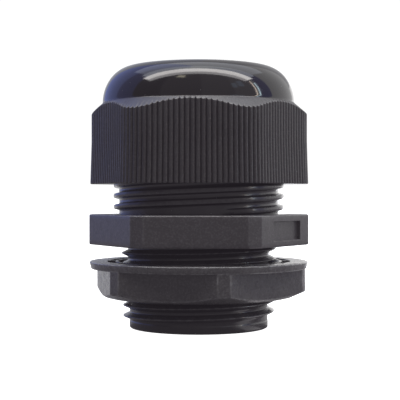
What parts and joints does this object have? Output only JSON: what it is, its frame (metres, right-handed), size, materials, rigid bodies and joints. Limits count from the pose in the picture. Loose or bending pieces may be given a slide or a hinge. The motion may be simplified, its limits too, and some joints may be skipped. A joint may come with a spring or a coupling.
{
  "type": "cable gland",
  "caption": "Nylon cable gland: hexagonal body with a tapered entry thread, clamping claw, sealing insert, ribbed dome nut and flanged lock nut.",
  "frame": {"origin": "on the axis at the end of the entry thread, where the gland stands", "axes": "+Z along the axis towards the dome; -Y out of the front face of the body's hexagon"},
  "size_m": [0.0468, 0.0466, 0.0555],
  "materials": {
    "nylon_body": "black moulded nylon, satin",
    "nylon_nut": "black moulded nylon, glossy dome and matt ribs",
    "nylon_lock_nut": "black moulded nylon, fine matt texture",
    "nylon_claw": "dark grey moulded nylon",
    "seal_rubber": "black nitrile rubber"
  },
  "bodies": {
    "gland_body": {"gland_body": "nylon_body"},
    "clamp_insert": {"claw_ring": "nylon_claw", "seal_insert": "seal_rubber"},
    "dome_nut": {"dome_nut": "nylon_nut"},
    "lock_nut": {"lock_nut": "nylon_lock_nut"},
    "claw_finger_01": {"claw_finger_01": "nylon_claw"},
    "claw_finger_02": {"claw_finger_02": "nylon_claw"},
    "claw_finger_03": {"claw_finger_03": "nylon_claw"},
    "claw_finger_04": {"claw_finger_04": "nylon_claw"},
    "claw_finger_05": {"claw_finger_05": "nylon_claw"},
    "claw_finger_06": {"claw_finger_06": "nylon_claw"},
    "claw_finger_07": {"claw_finger_07": "nylon_claw"},
    "claw_finger_08": {"claw_finger_08": "nylon_claw"},
    "claw_finger_09": {"claw_finger_09": "nylon_claw"},
    "claw_finger_10": {"claw_finger_10": "nylon_claw"},
    "claw_finger_11": {"claw_finger_11": "nylon_claw"},
    "claw_finger_12": {"claw_finger_12": "nylon_claw"},
    "claw_finger_13": {"claw_finger_13": "nylon_claw"},
    "claw_finger_14": {"claw_finger_14": "nylon_claw"},
    "claw_finger_15": {"claw_finger_15": "nylon_claw"},
    "claw_finger_16": {"claw_finger_16": "nylon_claw"}
  },
  "joints": [
    {"name": "dome_nut_turn", "type": "hinge", "parent": "gland_body", "child": "clamp_insert", "pos_m": [0, 0, 0], "axis": [0, 0, 1], "range_deg": [-414.7, 391.2]},
    {"name": "dome_nut_lift", "type": "slide", "parent": "clamp_insert", "child": "dome_nut", "axis": [0, 0, 1], "range_m": [-0.0053, 0.005]},
    {"name": "lock_nut_travel", "type": "slide", "parent": "gland_body", "child": "lock_nut", "axis": [0, 0, 1], "range_m": [-0.0125, 0.0034]},
    {"name": "claw_close_01", "type": "hinge", "parent": "clamp_insert", "child": "claw_finger_01", "pos_m": [0.0157, 0, 0.0404], "axis": [0, -1, 0], "range_deg": [0, 8], "stiffness_Nm_per_rad": 0.004},
    {"name": "claw_close_02", "type": "hinge", "parent": "clamp_insert", "child": "claw_finger_02", "pos_m": [0.01451, 0.00601, 0.0404], "axis": [0.3827, -0.9239, 0], "range_deg": [0, 8], "stiffness_Nm_per_rad": 0.004},
    {"name": "claw_close_03", "type": "hinge", "parent": "clamp_insert", "child": "claw_finger_03", "pos_m": [0.0111, 0.0111, 0.0404], "axis": [0.7071, -0.7071, 0], "range_deg": [0, 8], "stiffness_Nm_per_rad": 0.004},
    {"name": "claw_close_04", "type": "hinge", "parent": "clamp_insert", "child": "claw_finger_04", "pos_m": [0.00601, 0.01451, 0.0404], "axis": [0.9239, -0.3827, 0], "range_deg": [0, 8], "stiffness_Nm_per_rad": 0.004},
    {"name": "claw_close_05", "type": "hinge", "parent": "clamp_insert", "child": "claw_finger_05", "pos_m": [0, 0.0157, 0.0404], "axis": [1, 0, 0], "range_deg": [0, 8], "stiffness_Nm_per_rad": 0.004},
    {"name": "claw_close_06", "type": "hinge", "parent": "clamp_insert", "child": "claw_finger_06", "pos_m": [-0.00601, 0.01451, 0.0404], "axis": [0.9239, 0.3827, 0], "range_deg": [0, 8], "stiffness_Nm_per_rad": 0.004},
    {"name": "claw_close_07", "type": "hinge", "parent": "clamp_insert", "child": "claw_finger_07", "pos_m": [-0.0111, 0.0111, 0.0404], "axis": [0.7071, 0.7071, 0], "range_deg": [0, 8], "stiffness_Nm_per_rad": 0.004},
    {"name": "claw_close_08", "type": "hinge", "parent": "clamp_insert", "child": "claw_finger_08", "pos_m": [-0.01451, 0.00601, 0.0404], "axis": [0.3827, 0.9239, 0], "range_deg": [0, 8], "stiffness_Nm_per_rad": 0.004},
    {"name": "claw_close_09", "type": "hinge", "parent": "clamp_insert", "child": "claw_finger_09", "pos_m": [-0.0157, 0, 0.0404], "axis": [0, 1, 0], "range_deg": [0, 8], "stiffness_Nm_per_rad": 0.004},
    {"name": "claw_close_10", "type": "hinge", "parent": "clamp_insert", "child": "claw_finger_10", "pos_m": [-0.01451, -0.00601, 0.0404], "axis": [-0.3827, 0.9239, 0], "range_deg": [0, 8], "stiffness_Nm_per_rad": 0.004},
    {"name": "claw_close_11", "type": "hinge", "parent": "clamp_insert", "child": "claw_finger_11", "pos_m": [-0.0111, -0.0111, 0.0404], "axis": [-0.7071, 0.7071, 0], "range_deg": [0, 8], "stiffness_Nm_per_rad": 0.004},
    {"name": "claw_close_12", "type": "hinge", "parent": "clamp_insert", "child": "claw_finger_12", "pos_m": [-0.00601, -0.01451, 0.0404], "axis": [-0.9239, 0.3827, 0], "range_deg": [0, 8], "stiffness_Nm_per_rad": 0.004},
    {"name": "claw_close_13", "type": "hinge", "parent": "clamp_insert", "child": "claw_finger_13", "pos_m": [0, -0.0157, 0.0404], "axis": [-1, 0, 0], "range_deg": [0, 8], "stiffness_Nm_per_rad": 0.004},
    {"name": "claw_close_14", "type": "hinge", "parent": "clamp_insert", "child": "claw_finger_14", "pos_m": [0.00601, -0.01451, 0.0404], "axis": [-0.9239, -0.3827, 0], "range_deg": [0, 8], "stiffness_Nm_per_rad": 0.004},
    {"name": "claw_close_15", "type": "hinge", "parent": "clamp_insert", "child": "claw_finger_15", "pos_m": [0.0111, -0.0111, 0.0404], "axis": [-0.7071, -0.7071, 0], "range_deg": [0, 8], "stiffness_Nm_per_rad": 0.004},
    {"name": "claw_close_16", "type": "hinge", "parent": "clamp_insert", "child": "claw_finger_16", "pos_m": [0.01451, -0.00601, 0.0404], "axis": [-0.3827, -0.9239, 0], "range_deg": [0, 8], "stiffness_Nm_per_rad": 0.004}
  ],
  "couplings": [
    {"joint": "dome_nut_lift", "follows": "dome_nut_turn", "m_per_rad": 0.00073211},
    {"joint": "claw_close_02", "follows": "claw_close_01", "ratio": 1},
    {"joint": "claw_close_03", "follows": "claw_close_01", "ratio": 1},
    {"joint": "claw_close_04", "follows": "claw_close_01", "ratio": 1},
    {"joint": "claw_close_05", "follows": "claw_close_01", "ratio": 1},
    {"joint": "claw_close_06", "follows": "claw_close_01", "ratio": 1},
    {"joint": "claw_close_07", "follows": "claw_close_01", "ratio": 1},
    {"joint": "claw_close_08", "follows": "claw_close_01", "ratio": 1},
    {"joint": "claw_close_09", "follows": "claw_close_01", "ratio": 1},
    {"joint": "claw_close_10", "follows": "claw_close_01", "ratio": 1},
    {"joint": "claw_close_11", "follows": "claw_close_01", "ratio": 1},
    {"joint": "claw_close_12", "follows": "claw_close_01", "ratio": 1},
    {"joint": "claw_close_13", "follows": "claw_close_01", "ratio": 1},
    {"joint": "claw_close_14", "follows": "claw_close_01", "ratio": 1},
    {"joint": "claw_close_15", "follows": "claw_close_01", "ratio": 1},
    {"joint": "claw_close_16", "follows": "claw_close_01", "ratio": 1}
  ]
}
